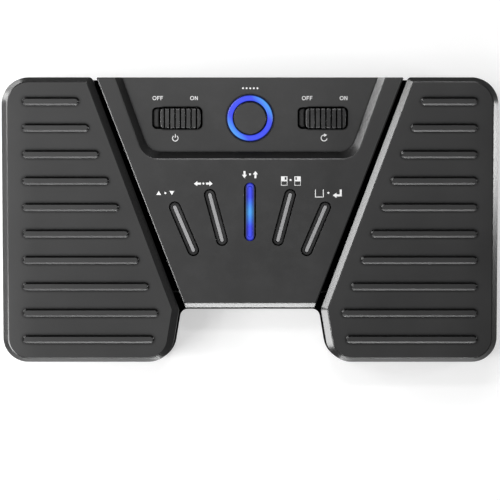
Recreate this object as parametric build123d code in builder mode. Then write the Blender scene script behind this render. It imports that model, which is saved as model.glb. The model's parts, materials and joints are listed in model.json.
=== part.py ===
from build123d import *
from math import asin, atan2, cos, radians, sin, tan
import os

# Foot pedal that turns pages by radio: two ribbed pedals over a base tray, a centre cover between them.
# Millimetres. X runs to the right, Y to the back, Z up from the floor, with the origin at the middle.

# Overall form
overall_height = 30.0
front_height = 22.0
cover_back_half = 68.1
cover_length = 101.8
cut_overrun = 5.0

# Plan of the left pedal, which the right one mirrors
pedal_back_span = 40.0
cover_back_gap = 1.9
cover_front_gap = 2.7
notch_depth = 24.2
pedal_side_taper = 0.65
pedal_toe_offset = 35.35
pedal_knee_offset = 31.45
pedal_knee_setback = 23.5
pedal_back_outer_radius = 12.0
pedal_front_outer_radius = 11.0
pedal_toe_radius = 11.3
pedal_knee_radius = 4.4
pedal_back_inner_radius = 1.75

# Pedal shell
pedal_plate = 2.5
pedal_skirt = 2.0
pedal_bevel_depth = 1.8
pedal_bevel_side = 2.6
pedal_bevel_front = 2.0
pedal_bevel_back = 2.3
pedal_bevel_inner = 3.1
pedal_edge_width = 0.5
pedal_edge_depth = 0.16
pedal_travel = 4.5
pedal_web_width = 1.4
pedal_web_depth = 3.0

# Raised grip bars on each pedal
grip_pitch = 11.7
grip_first_setback = 10.6
grip_last_margin = 9.5
grip_width = 3.6
grip_top_width = 2.0
grip_height = 0.8
grip_side_margin = 9.2
grip_inner_margin = 9.5
grip_toe_margin = 8.8

# Base tray
foot_height = 2.0
floor_thickness = 2.0
band_rise = 1.8
base_inset = 0.6
base_notch_proud = 0.8
base_lip = 0.8
base_edge_chamfer = 0.8
notch_fillet_radius = 3.5
bay_clearance = 0.9
bay_wall = 1.6
bay_headroom = 2.0
skirt_gap = 0.7

# Pedal hinge
hinge_setback = 10.0
hinge_rise = 8.0
pin_radius = 1.5
pin_seat_clearance = 0.02
pin_running_clearance = 0.05
pin_chamfer = 0.3
ear_radius = 4.0
ear_thickness = 4.0
ear_side_room = 3.5
lug_thickness = 4.0
lug_side_gap = 0.5

# Upward stops: hooks on the pedal behind ledges on the base
hook_end_inset = 8.0
hook_width = 8.0
hook_thickness = 2.0
hook_barb = 1.5
hook_barb_height = 1.65
hook_gap = 0.15
hook_clearance = 0.3
ledge_thickness = 2.0
ledge_side_margin = 1.0

# Downward stops
stop_radius = 4.0
stop_pad_thickness = 2.0
stop_gap = 0.1
stop_setback = 11.0

# Contact boards and rubber domes under the pedals
sensor_outer_room = 5.5
sensor_inner_room = 4.9
sensor_board_depth = 14.0
board_thickness = 1.6
sensor_standoff = 2.0
sensor_post_radius = 2.5
sensor_screw_inset = 2.8
sensor_setback = 25.0
strip_thickness = 1.0
strip_margin = 1.0
strip_end_room = 5.0
dome_radius = 6.0
dome_height = 6.0
dome_wall = 0.9
dome_cap_radius = 3.0
dome_cap_height = 2.0
pusher_radius = 3.0
pusher_gap = 0.1

# Centre cover
cover_drop = 0.8
cover_plate = 2.2
cover_wall = 2.0
cover_bevel_depth = 1.5
cover_bevel_side = 0.6
cover_bevel_front = 2.2
cover_bevel_back = 0.5
cover_edge_width = 0.4
cover_edge_depth = 0.12
cover_corner_radius = 0.5

# Control panel, sunk into the cover and open to the back
panel_drop = 2.6
panel_plate = 2.0
panel_back_margin = 8.2
panel_front_margin = 7.3
panel_setback = 36.0
panel_wall_run = 3.1
panel_corner_radius = 8.0
panel_rim_width = 0.35
panel_rim_depth = 0.1

# Slide switches
switch_room = 4.85
switch_setback = 18.0
slot_length = 22.3
slot_width = 9.7
slot_corner_radius = 2.0
knob_length = 17.9
knob_width = 8.8
knob_rise = 1.3
knob_corner_radius = 1.6
knob_edge_radius = 0.5
knob_travel = 2.8
knob_flange_lap = 1.6
knob_flange_thickness = 1.2
knob_gap = 0.15
groove_count = 7
groove_pitch = 2.37
groove_width = 0.7
groove_depth = 0.5
switch_length = 14.0
switch_width = 6.0
switch_height = 4.0
lever_length = 2.2
lever_width = 1.6
lever_depth = 1.5
lever_socket = 1.4
lever_clearance = 0.1

# Mode button and its light ring
mode_hole_radius = 10.6
ring_outer_radius = 10.1
ring_inner_radius = 7.7
ring_rise = 0.7
ring_bevel = 0.35
ring_flange_radius = 11.8
ring_flange_thickness = 1.2
cap_radius = 7.3
cap_rise = 1.1
cap_bevel = 0.45
cap_flange_radius = 8.4
cap_flange_thickness = 0.8
cap_gap = 0.15
cap_travel = 0.6
cap_stem_radius = 2.0
tact_size = 6.0
tact_height = 1.9
plunger_radius = 1.5
plunger_rise = 0.8
plunger_depth = 0.9
plunger_clearance = 0.1

# Mode lights: five diffuser bars in a dark carrier
light_spread = 29.2
light_spread_shares = (-1, -0.517, 0, 0.517, 1)
light_back_room = 10.5
light_back_step = 7.5
light_step_shares = (1, 0.333, 0, 0.333, 1)
light_lean_angle = 23.2
light_lean_shares = (1, 0.647, 0, -0.647, -1)
light_slot_length = 26.0
light_slot_width = 5.3
bezel_gap = 0.45
bezel_drop = 0.5
light_groove_length = 22.9
light_groove_width = 2.1
diffuser_length = 22.3
diffuser_width = 1.5
diffuser_rise = 0.15
diffuser_flange = 0.6
diffuser_flange_thickness = 1.0
carrier_plate = 1.2
carrier_half_back = 41.0
carrier_half_front = 27.5
carrier_reach_back = 16.0
carrier_reach_front = 22.5
carrier_corner_radius = 3.0

# Main board and what it carries
main_board_side_inset = 9.0
main_board_front_inset = 4.5
main_board_back_inset = 6.5
board_screw_inset = 4.5
board_screw_back_inset = 30.0
board_screw_front_inset = 12.8
emitter_length = 2.0
emitter_width = 1.3
emitter_height = 0.8
emitter_spread = 6.0
ring_emitter_count = 4
radio_length = 18.0
radio_width = 13.0
radio_board = 0.8
radio_shield = 1.8
radio_margin = 1.0
radio_front_inset = 15.8
boss_radius = 3.0

# Charging socket and its pocket in the back wall
socket_width = 8.94
socket_height = 3.2
socket_depth = 7.35
socket_wall = 0.3
socket_mouth_depth = 6.2
tongue_width = 6.7
tongue_height = 0.7
tongue_depth = 4.5
pocket_width = 13.4
pocket_height = 7.4
pocket_depth = 4.5
pocket_wall = 1.5
pocket_corner_radius = 2.4
socket_clearance = 0.25

# Battery
battery_length = 48.0
battery_width = 30.0
battery_height = 5.0
battery_edge_radius = 1.2
battery_front_room = 27.8
battery_pad = 0.8
battery_gap = 0.4
fence_thickness = 1.2
fence_rise = 3.0

# Leads
lead_radius = 0.7
lead_clearance = 0.2
lead_bend_radius = 1.6
lead_side_offset = 6.0
lead_rise_radius = 3.0
lead_straight_run = 1.1
lead_rise_share = 0.488
battery_lead_offset = 10.0
battery_lead_run = 5.0

# Screws
cover_screw_radius = 1.25
cover_screw_head_radius = 2.8
cover_screw_head = 2.0
cover_screw_length = 9.0
cover_screw_inset = 4.8
cover_screw_back_inset = 7.0
cover_screw_front_inset = 14.8
cover_screw_middle_share = 0.575
screw_clearance = 0.3
screw_seat = 1.6
pilot_clearance = 0.02
pilot_overdepth = 0.3
post_wall = 1.2
board_screw_radius = 0.9
board_screw_head_radius = 1.8
board_screw_head = 1.2
board_screw_length = 4.5
drive_radius = 0.9
drive_depth = 0.9

# Rubber feet
foot_radius = 6.0
foot_sink = 0.6
foot_clearance = 0.15
foot_edge_radius = 0.6
foot_outer_inset = 13.0
foot_end_inset = 15.0
foot_toe_offset = 46.0
foot_toe_inset = 12.0
foot_middle_offset = 32.0
foot_middle_inset = 11.0

# Heights and places worked out from the sizes above
half_width = pedal_back_span + cover_back_gap + cover_back_half
cover_front_half = pedal_knee_offset - cover_front_gap
overall_depth = cover_length + notch_depth
half_depth = overall_depth / 2
deck_angle = atan2(overall_height - front_height, overall_depth)
deck_middle = (overall_height + front_height) / 2
deck_stretch = 1 / cos(deck_angle)
floor_top = foot_height + floor_thickness
band_top = floor_top + band_rise
hinge_x = -half_width + pedal_back_span / 2
hinge_y = half_depth - hinge_setback
hinge_z = floor_top + hinge_rise
press_angle = asin(pedal_travel / (hinge_y + half_depth))
bay_inset = pedal_skirt + bay_clearance
bay_inner = bay_inset + bay_wall
bay_wall_top = front_height - pedal_plate - pedal_travel - bay_headroom
cover_front_y = half_depth - cover_length
panel_front_y = half_depth - panel_setback
panel_depth = cover_drop + panel_drop
panel_wall_slope = panel_wall_run / panel_drop
knob_flange_bottom = panel_plate + knob_gap + knob_flange_thickness
board_under_panel = knob_flange_bottom + knob_gap + switch_height
board_depth = panel_depth + board_under_panel
board_bottom = board_depth + board_thickness
switch_y = half_depth - switch_setback
light_y = panel_front_y - light_back_room - light_slot_length / 2
battery_y = cover_front_y + battery_front_room + battery_width / 2
sensor_y = -half_depth + sensor_setback
lead_y = sensor_y + lead_side_offset
sensor_bottom = floor_top + sensor_standoff
strip_bottom = sensor_bottom + board_thickness
dome_top = strip_bottom + strip_thickness + dome_height


def deck_level(depth=0.0):
    """Plane of the pedal tops, or one that lies under it by a depth, with its plan places unmoved."""
    return Plane(
        origin=(0, 0, deck_middle - depth * deck_stretch),
        x_dir=(1, 0, 0),
        z_dir=(0, -sin(deck_angle), cos(deck_angle)),
    )


def deck_height(y, depth=0.0):
    """Height above the floor of such a plane at a place from front to back."""
    return deck_middle + y * tan(deck_angle) - depth * deck_stretch


def pressed_height(y, z):
    """Height of a point of a pedal once the pedal is pressed all the way down."""
    return hinge_z + (y - hinge_y) * sin(press_angle) + (z - hinge_z) * cos(press_angle)


def moved_in(corners, insets):
    """Corners of a closed outline, counter-clockwise, whose sides each move in by their own inset."""
    moved = []
    for index, corner in enumerate(corners):
        here = Vector(*corner)
        along_last = (here - Vector(*corners[index - 1])).normalized()
        along_next = (Vector(*corners[(index + 1) % len(corners)]) - here).normalized()
        turn = along_last.X * along_next.Y - along_last.Y * along_next.X
        shift = along_next * insets[index - 1] - along_last * insets[index]
        moved.append((here.X + shift.X / turn, here.Y + shift.Y / turn))
    return moved


def mirrored(left):
    """Values on the left, from back to front, joined with the same on the right into one round."""
    return left + [(-x, y) for x, y in reversed(left)]


def outline(corners, radii, stretch=1.0):
    """Face inside a closed run of straight sides with rounded corners."""
    with BuildSketch() as face:
        with BuildLine():
            FilletPolyline(*[(x, y * stretch) for x, y in corners], radius=radii, close=True)
        make_face()
    return face.sketch


def cover_half(y):
    """Half width of the cover at a place from front to back."""
    share = (y - cover_front_y) / (half_depth - cover_front_y)
    return cover_front_half + share * (cover_back_half - cover_front_half)


def pedal_inner_edge(y):
    """Distance of the pedal's inner edge from the middle, at a place from front to back."""
    knee_y = -half_depth + pedal_knee_setback
    if y > knee_y:
        share = (y - knee_y) / (half_depth - knee_y)
        return pedal_knee_offset + share * (half_width - pedal_back_span - pedal_knee_offset)
    share = (y + half_depth) / pedal_knee_setback
    return pedal_toe_offset + share * (pedal_knee_offset - pedal_toe_offset)


# Slants of the sides in plan, and what follows them
cover_slant = atan2(cover_back_half - cover_front_half, cover_length)
pedal_slant = atan2(half_width - pedal_back_span - pedal_knee_offset, overall_depth - pedal_knee_setback)
panel_back_half = cover_back_half - panel_back_margin
panel_front_half = cover_half(panel_front_y) - panel_front_margin
sensor_outer_end = -half_width + bay_inner + sensor_outer_room
sensor_inner_end = -pedal_inner_edge(lead_y) - bay_inner / cos(pedal_slant) - sensor_inner_room
sensor_board_width = sensor_inner_end - sensor_outer_end
sensor_x = (sensor_outer_end + sensor_inner_end) / 2
dome_spacing = sensor_board_width - 2 * (dome_radius + strip_margin + strip_end_room)
hook_offset = sensor_board_width / 2 - hook_end_inset
ear_offset = pedal_back_span / 2 - bay_inner - ear_side_room - ear_thickness / 2
stop_spot = (sensor_x, -half_depth + stop_setback)
knob_flange_length = slot_length + knob_travel + 2 * knob_flange_lap
switch_offset = ring_flange_radius + switch_room + (knob_flange_length + knob_travel) / 2

# Outlines in plan
pedal_corners = [
    (-half_width, half_depth),
    (-half_width + pedal_side_taper, -half_depth),
    (-pedal_toe_offset, -half_depth),
    (-pedal_knee_offset, -half_depth + pedal_knee_setback),
    (-half_width + pedal_back_span, half_depth),
]
pedal_radii = [
    pedal_back_outer_radius,
    pedal_front_outer_radius,
    pedal_toe_radius,
    pedal_knee_radius,
    pedal_back_inner_radius,
]
pedal_bevels = [
    pedal_bevel_side,
    pedal_bevel_front,
    pedal_bevel_inner,
    pedal_bevel_inner,
    pedal_bevel_back,
]
flush = [0] * len(pedal_corners)
cover_corners = mirrored([(-cover_back_half, half_depth), (-cover_front_half, cover_front_y)])
cover_bevels = [cover_bevel_side, cover_bevel_front, cover_bevel_side, cover_bevel_back]
cover_radii = [cover_corner_radius] * len(cover_corners)
board_insets = [
    main_board_side_inset,
    main_board_front_inset,
    main_board_side_inset,
    main_board_back_inset,
]


def pedal_outline(insets, stretch=1.0):
    """Plan of the left pedal with its sides moved in, and its corners tightened to suit."""
    inward = [(insets[index - 1] + insets[index]) / 2 for index in range(len(insets))]
    radii = [max(radius - inset, radius / 4) for radius, inset in zip(pedal_radii, inward)]
    return outline(moved_in(pedal_corners, insets), radii, stretch)


def bay_outline(inset):
    """Plan of the left pedal with every side moved in alike."""
    return pedal_outline([inset] * len(pedal_corners))


def cover_outline(insets, stretch=1.0):
    """Plan of the centre cover with its sides moved in."""
    return outline(moved_in(cover_corners, insets), cover_radii, stretch)


def panel_outline(inset, back_y, stretch=1.0):
    """Plan of the sunk control panel with its front and sides moved in."""
    widening = (panel_back_half - panel_front_half) / panel_setback
    back_half = panel_back_half + (back_y - half_depth) * widening
    rim = mirrored([(-back_half, back_y), (-panel_front_half, panel_front_y)])
    radii = [0, panel_corner_radius, panel_corner_radius, 0]
    return outline(moved_in(rim, [inset, inset, inset, 0]), radii, stretch)


def base_outline():
    """Plan of the base tray: under both pedals, with the notch between their front ends."""
    insets = [base_inset, base_inset, -base_notch_proud, -base_notch_proud, base_inset]
    back, front, toe, knee = moved_in(pedal_corners, insets)[:4]
    lip_y = cover_front_y - base_lip
    notch_x = toe[0] + (lip_y - toe[1]) / (knee[1] - toe[1]) * (knee[0] - toe[0])
    radii = [
        pedal_back_outer_radius - base_inset,
        pedal_front_outer_radius - base_inset,
        pedal_toe_radius,
        notch_fillet_radius,
    ]
    return outline(mirrored([back, front, toe, (notch_x, lip_y)]), radii + radii[::-1])


def cover_screw_spots(side):
    """Places of the cover screws on one side, a set distance in from the cover's slanted wall."""
    back_y = half_depth - cover_screw_back_inset
    front_y = cover_front_y + cover_screw_front_inset
    rows = [back_y, back_y + cover_screw_middle_share * (front_y - back_y), front_y]
    return [(side * (cover_half(y) - cover_screw_inset / cos(cover_slant)), y) for y in rows]


def board_screw_spots(stretch=1.0):
    """Places of the main board's screws, a set distance in from its slanted edges."""
    inset = (main_board_side_inset + board_screw_inset) / cos(cover_slant)
    rows = [half_depth - board_screw_back_inset, cover_front_y + board_screw_front_inset]
    return [(side * (cover_half(y) - inset), y * stretch) for y in rows for side in (-1, 1)]


def foot_spots(side):
    """Places of the rubber feet on one side."""
    outer = half_width - foot_outer_inset
    end = half_depth - foot_end_inset
    toe_y = -half_depth + foot_toe_inset
    middle_y = half_depth - foot_middle_inset
    spots = [(outer, end), (outer, -end), (foot_toe_offset, toe_y), (foot_middle_offset, middle_y)]
    return [(side * x, y) for x, y in spots]


# Planes that the controls, lights and board are laid out on
cover_top = deck_level(cover_drop)
panel = deck_level(panel_depth)
board_top = panel.offset(-board_under_panel)
board_level = deck_level(board_depth)
mode_spot = (0, switch_y * deck_stretch)
switch_spots = {"power": (-switch_offset, mode_spot[1]), "repeat": (switch_offset, mode_spot[1])}
light_spots = [
    (spread * light_spread, (light_y - step * light_back_step) * deck_stretch, lean * light_lean_angle)
    for spread, step, lean in zip(light_spread_shares, light_step_shares, light_lean_shares)
]

# Heights of the controls over the panel, and of what the board carries
deck_normal = Axis((0, 0, 0), (0, -sin(deck_angle), cos(deck_angle)))
cap_flange_top = -(panel_plate + ring_flange_thickness + cap_gap)
plunger_top = tact_height + plunger_rise - board_under_panel
socket_z = deck_height(half_depth - pocket_depth, board_bottom + socket_height / 2)
board_boss_tops = [
    panel_depth + panel_plate / 2 if y > panel_front_y else cover_drop + cover_plate / 2
    for x, y in board_screw_spots()
]

# Places in the pedal bays
grip_count = int((overall_depth - grip_first_setback - grip_last_margin) / grip_pitch) + 1
grip_rows = [half_depth - grip_first_setback - index * grip_pitch for index in range(grip_count)]
grip_shrink = grip_width - grip_top_width
plate_middle = pedal_plate / 2
bay_front_y = -half_depth + bay_inner
hook_front_y = bay_front_y + hook_barb + hook_clearance
hook_top = bay_wall_top - ledge_thickness - hook_gap
hook_bottom = hook_top - hook_barb_height
hook_places = [sensor_x + side * hook_offset for side in (-1, 1)]
dome_spots = [(sensor_x + side * dome_spacing / 2, sensor_y) for side in (-1, 1)]
sensor_screw_reach = sensor_board_width / 2 - sensor_screw_inset
sensor_screw_spots = [(sensor_x + side * sensor_screw_reach, sensor_y) for side in (-1, 1)]
stop_front_y = stop_spot[1] - stop_radius
stop_pad_top = pressed_height(stop_front_y, deck_height(stop_front_y, pedal_plate)) - stop_gap
lug_offset = ear_offset - ear_thickness / 2 - lug_side_gap - lug_thickness / 2
lead_z = floor_top + lead_clearance + lead_radius
lead_top_z = sensor_bottom + board_thickness / 2
lead_fall_x = sensor_inner_end + lead_straight_run
lead_floor_x = lead_fall_x + lead_top_z - lead_z
lead_rise_x = lead_floor_x * lead_rise_share

os.makedirs("parts", exist_ok=True)

# Room inside the left pedal's skirt, up to the underside of its plate
with BuildPart() as pedal_hollow:
    with BuildSketch():
        add(bay_outline(pedal_skirt))
    extrude(amount=overall_height + cut_overrun)
    split(bisect_by=deck_level(pedal_plate), keep=Keep.BOTTOM)

# Left pedal: a bevelled shell with grip bars, hinge ears, hooks that stop it upward, and pushers
with BuildPart() as left_pedal:
    with BuildSketch(Plane.XY.offset(band_top)):
        add(pedal_outline(flush))
    with BuildSketch(deck_level(pedal_bevel_depth)):
        add(pedal_outline(flush, deck_stretch))
    with BuildSketch(deck_level(pedal_edge_depth)):
        add(pedal_outline([bevel - pedal_edge_width for bevel in pedal_bevels], deck_stretch))
    with BuildSketch(deck_level()):
        add(pedal_outline(pedal_bevels, deck_stretch))
    loft(ruled=True)
    add(pedal_hollow.part, mode=Mode.SUBTRACT)
    skirt_edge = Plane(
        origin=(0, hinge_y, band_top + skirt_gap),
        x_dir=(1, 0, 0),
        z_dir=(0, sin(press_angle), cos(press_angle)),
    )
    split(bisect_by=skirt_edge, keep=Keep.TOP)
    for row in grip_rows:
        margin = grip_inner_margin if row > -half_depth + pedal_knee_setback else grip_toe_margin
        left_end = -half_width + grip_side_margin
        right_end = -pedal_inner_edge(row) - margin
        spot = ((left_end + right_end) / 2, row * deck_stretch)
        length = right_end - left_end
        with BuildSketch(deck_level()):
            with Locations(spot):
                SlotOverall(length, grip_width)
        with BuildSketch(deck_level().offset(grip_height)):
            with Locations(spot):
                SlotOverall(length - grip_shrink, grip_top_width)
        loft(ruled=True)
    for side in (-1, 1):
        ear_top = deck_height(hinge_y, plate_middle)
        with BuildSketch(Plane.YZ.offset(hinge_x + side * ear_offset - ear_thickness / 2)):
            with Locations((hinge_y, (hinge_z + ear_top) / 2)):
                Rectangle(2 * ear_radius, ear_top - hinge_z)
            with Locations((hinge_y, hinge_z)):
                Circle(ear_radius)
                Circle(pin_radius + pin_running_clearance, mode=Mode.SUBTRACT)
        extrude(amount=ear_thickness)
        with BuildSketch(deck_level(pedal_plate + pedal_web_depth)):
            with Locations((hinge_x + side * ear_offset, (hinge_y + hook_front_y) / 2 * deck_stretch)):
                Rectangle(pedal_web_width, (hinge_y - hook_front_y) * deck_stretch)
        extrude(amount=pedal_web_depth + plate_middle)
    for place in hook_places:
        hook_reach = deck_height(hook_front_y, plate_middle)
        with BuildSketch(Plane.YZ.offset(place - hook_width / 2)):
            with Locations((hook_front_y, hook_bottom)):
                Rectangle(hook_thickness, hook_reach - hook_bottom, align=(Align.MIN, Align.MIN))
                Rectangle(hook_barb, hook_barb_height, align=(Align.MAX, Align.MIN))
        extrude(amount=hook_width)
    with BuildSketch(Plane.XY.offset(dome_top + pusher_gap)):
        with Locations(*dome_spots):
            Circle(pusher_radius)
    extrude(amount=deck_height(sensor_y, plate_middle) - dome_top - pusher_gap)
left_pedal.part.label = "left_pedal"
export_step(left_pedal.part, "parts/left_pedal.step")

# Steel pin that the left pedal turns on, held in the base's lugs
with BuildPart() as left_hinge_pin:
    with BuildSketch(Plane.YZ.offset(hinge_x - ear_offset - ear_thickness / 2)):
        with Locations((hinge_y, hinge_z)):
            Circle(pin_radius)
    extrude(amount=2 * ear_offset + ear_thickness)
    chamfer(left_hinge_pin.edges().filter_by(GeomType.CIRCLE), pin_chamfer)
left_hinge_pin.part.label = "left_hinge_pin"
export_step(left_hinge_pin.part, "parts/left_hinge_pin.step")

# Base tray: band, floor and bay walls, with all that stands on the floor, made on the left and mirrored
with BuildPart() as base_tray:
    with BuildSketch(Plane.XY.offset(foot_height)):
        add(base_outline())
    extrude(amount=band_top - foot_height)
    chamfer(base_tray.faces().sort_by(Axis.Z)[0].outer_wire().edges(), base_edge_chamfer)
    with BuildSketch(Plane.XY.offset(band_top)):
        add(bay_outline(bay_inset))
    extrude(amount=bay_wall_top - band_top)
    with BuildSketch(Plane.XY.offset(floor_top)):
        add(bay_outline(bay_inner))
    extrude(amount=bay_wall_top - floor_top, mode=Mode.SUBTRACT)
    with BuildSketch(Plane.XY.offset(floor_top)):
        add(cover_outline([cover_wall] * len(cover_corners)))
    extrude(amount=band_rise, mode=Mode.SUBTRACT)
    for side in (-1, 1):
        with BuildSketch(Plane.YZ.offset(hinge_x + side * lug_offset - lug_thickness / 2)):
            with Locations((hinge_y, floor_top)):
                Rectangle(2 * ear_radius, hinge_z - floor_top, align=(Align.CENTER, Align.MIN))
            with Locations((hinge_y, hinge_z)):
                Circle(ear_radius)
                Circle(pin_radius + pin_seat_clearance, mode=Mode.SUBTRACT)
        extrude(amount=lug_thickness)
    for place in hook_places:
        with BuildSketch(Plane.XY.offset(bay_wall_top)):
            with Locations((place, bay_front_y)):
                Rectangle(hook_width + 2 * ledge_side_margin, hook_barb, align=(Align.CENTER, Align.MIN))
        extrude(amount=-ledge_thickness)
    with BuildSketch(Plane.XY.offset(floor_top)):
        with Locations(stop_spot):
            Circle(stop_radius)
    extrude(amount=stop_pad_top - stop_pad_thickness - floor_top)
    with BuildSketch(Plane.XY.offset(floor_top)):
        with Locations(*sensor_screw_spots):
            Circle(sensor_post_radius)
    extrude(amount=sensor_standoff)
    with BuildSketch(Plane.XY.offset(floor_top)):
        with Locations(*cover_screw_spots(-1)):
            Circle(cover_screw_head_radius + screw_clearance + post_wall)
    extrude(amount=band_rise)
    with BuildSketch(Plane.XY.offset(floor_top)):
        with Locations((0, battery_y)):
            fence_gap = 2 * battery_gap
            fence_wall = 2 * fence_thickness
            Rectangle(battery_length + fence_gap + fence_wall, battery_width + fence_gap + fence_wall)
            Rectangle(battery_length + fence_gap, battery_width + fence_gap, mode=Mode.SUBTRACT)
        with Locations((0, battery_y + battery_width / 2)):
            Rectangle(
                2 * (battery_lead_offset + lead_radius + battery_gap),
                battery_width / 2,
                align=(Align.CENTER, Align.CENTER),
                mode=Mode.SUBTRACT,
            )
    extrude(amount=fence_rise)
    with BuildSketch(Plane.XY.offset(foot_height)):
        with Locations(*cover_screw_spots(-1)):
            Circle(cover_screw_head_radius + screw_clearance)
    extrude(amount=band_top - screw_seat - foot_height, mode=Mode.SUBTRACT)
    with BuildSketch(Plane.XY.offset(foot_height)):
        with Locations(*cover_screw_spots(-1)):
            Circle(cover_screw_radius + screw_clearance)
    extrude(amount=band_top - foot_height, mode=Mode.SUBTRACT)
    with BuildSketch(Plane.XY.offset(sensor_bottom)):
        with Locations(*sensor_screw_spots):
            Circle(board_screw_radius + pilot_clearance)
    extrude(amount=-(board_screw_length - board_thickness + pilot_overdepth), mode=Mode.SUBTRACT)
    with BuildSketch(Plane.XY.offset(foot_height)):
        with Locations(*foot_spots(-1)):
            Circle(foot_radius + foot_clearance)
    extrude(amount=foot_sink, mode=Mode.SUBTRACT)
    with BuildSketch(Plane.XY.offset(floor_top)):
        with Locations((sensor_inner_end, lead_y)):
            Rectangle(
                lead_rise_x - sensor_inner_end,
                2 * (lead_radius + lead_clearance),
                align=(Align.MIN, Align.CENTER),
            )
    extrude(amount=band_rise, mode=Mode.SUBTRACT)
    split(bisect_by=Plane.YZ, keep=Keep.BOTTOM)
    mirror(about=Plane.YZ)
base_tray.part.label = "base_tray"
export_step(base_tray.part, "parts/base_tray.step")

# Centre cover: trapezoid shell with the sunk control panel, light slots and charging pocket
with BuildPart() as cover_hollow:
    with BuildSketch():
        add(cover_outline([cover_wall] * len(cover_corners)))
    extrude(amount=overall_height + cut_overrun)
    split(bisect_by=deck_level(cover_drop + cover_plate), keep=Keep.BOTTOM)

back_face = Plane(origin=(0, half_depth, socket_z), x_dir=(-1, 0, 0), z_dir=(0, 1, 0))
with BuildPart() as centre_cover:
    with BuildSketch(Plane.XY.offset(band_top)):
        add(cover_outline([0] * len(cover_corners)))
    with BuildSketch(deck_level(cover_drop + cover_bevel_depth)):
        add(cover_outline([0] * len(cover_corners), deck_stretch))
    with BuildSketch(deck_level(cover_drop + cover_edge_depth)):
        add(cover_outline([bevel - cover_edge_width for bevel in cover_bevels], deck_stretch))
    with BuildSketch(cover_top):
        add(cover_outline(cover_bevels, deck_stretch))
    loft(ruled=True)
    add(cover_hollow.part, mode=Mode.SUBTRACT)
    with BuildSketch(deck_level(panel_depth + panel_plate)):
        add(panel_outline(-panel_plate, half_depth - cover_wall / 2, deck_stretch))
    extrude(amount=panel_depth + panel_plate - cover_drop - cover_plate / 2)
    with BuildSketch(deck_level(cover_drop - panel_drop)):
        add(panel_outline(-panel_wall_run, half_depth + cut_overrun, deck_stretch))
    with BuildSketch(panel):
        add(panel_outline(panel_wall_run, half_depth + cut_overrun, deck_stretch))
    loft(ruled=True, mode=Mode.SUBTRACT)
    rim_drop = panel_rim_depth * panel_wall_slope
    with BuildSketch(deck_level(cover_drop - panel_rim_depth)):
        add(panel_outline(-2 * panel_rim_width - rim_drop, half_depth + cut_overrun, deck_stretch))
    with BuildSketch(deck_level(cover_drop + panel_rim_depth)):
        add(panel_outline(rim_drop, half_depth + cut_overrun, deck_stretch))
    loft(ruled=True, mode=Mode.SUBTRACT)
    with BuildSketch(panel):
        with Locations(*switch_spots.values()):
            RectangleRounded(slot_length, slot_width, slot_corner_radius)
        with Locations(mode_spot):
            Circle(mode_hole_radius)
    extrude(amount=-(panel_plate + cut_overrun), mode=Mode.SUBTRACT)
    with BuildSketch(cover_top):
        for x, y, lean in light_spots:
            with Locations((x, y)):
                SlotOverall(light_slot_length, light_slot_width, rotation=90 + lean)
    extrude(amount=-(cover_plate + cut_overrun), mode=Mode.SUBTRACT)
    for side in (-1, 1):
        for x, y in cover_screw_spots(side):
            with BuildSketch(Plane.XY.offset(band_top)):
                with Locations((x, y)):
                    Circle(boss_radius)
            extrude(amount=deck_height(y, cover_drop + cover_plate / 2) - band_top)
            with BuildSketch(Plane.XY.offset(band_top)):
                with Locations((x, y)):
                    Circle(cover_screw_radius + pilot_clearance)
            extrude(amount=cover_screw_length - screw_seat + pilot_overdepth, mode=Mode.SUBTRACT)
    for (x, y), level in zip(board_screw_spots(deck_stretch), board_boss_tops):
        with BuildSketch(board_level):
            with Locations((x, y)):
                Circle(boss_radius)
        extrude(amount=board_depth - level)
        with BuildSketch(board_level):
            with Locations((x, y)):
                Circle(board_screw_radius + pilot_clearance)
        extrude(amount=board_screw_length - board_thickness + pilot_overdepth, mode=Mode.SUBTRACT)
    with BuildSketch(back_face):
        RectangleRounded(
            pocket_width + 2 * pocket_wall,
            pocket_height + 2 * pocket_wall,
            pocket_corner_radius + pocket_wall,
        )
    extrude(amount=-(pocket_depth + pocket_wall))
    with BuildSketch(back_face):
        RectangleRounded(pocket_width, pocket_height, pocket_corner_radius)
    extrude(amount=-pocket_depth, mode=Mode.SUBTRACT)
    with BuildSketch(back_face):
        SlotOverall(socket_width + 2 * socket_clearance, socket_height + 2 * socket_clearance)
    extrude(amount=-(pocket_depth + pocket_wall + cut_overrun), mode=Mode.SUBTRACT)
centre_cover.part.label = "centre_cover"
export_step(centre_cover.part, "parts/centre_cover.step")

# Dark carrier under the cover, whose five bezels stand up in the light slots
with BuildPart() as light_carrier:
    with BuildSketch(cover_top.offset(-cover_plate - carrier_plate)):
        back_y = (light_y + carrier_reach_back) * deck_stretch
        front_y = (light_y - carrier_reach_front) * deck_stretch
        rim = mirrored([(-carrier_half_back, back_y), (-carrier_half_front, front_y)])
        add(outline(rim, [carrier_corner_radius] * len(rim)))
    extrude(amount=carrier_plate)
    with BuildSketch(cover_top.offset(-cover_plate)):
        for x, y, lean in light_spots:
            with Locations((x, y)):
                SlotOverall(
                    light_slot_length - 2 * bezel_gap,
                    light_slot_width - 2 * bezel_gap,
                    rotation=90 + lean,
                )
    extrude(amount=cover_plate - bezel_drop)
    with BuildSketch(cover_top):
        for x, y, lean in light_spots:
            with Locations((x, y)):
                SlotOverall(light_groove_length, light_groove_width, rotation=90 + lean)
    extrude(amount=-(cover_plate + carrier_plate + cut_overrun), mode=Mode.SUBTRACT)
light_carrier.part.label = "light_carrier"
export_step(light_carrier.part, "parts/light_carrier.step")

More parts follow.
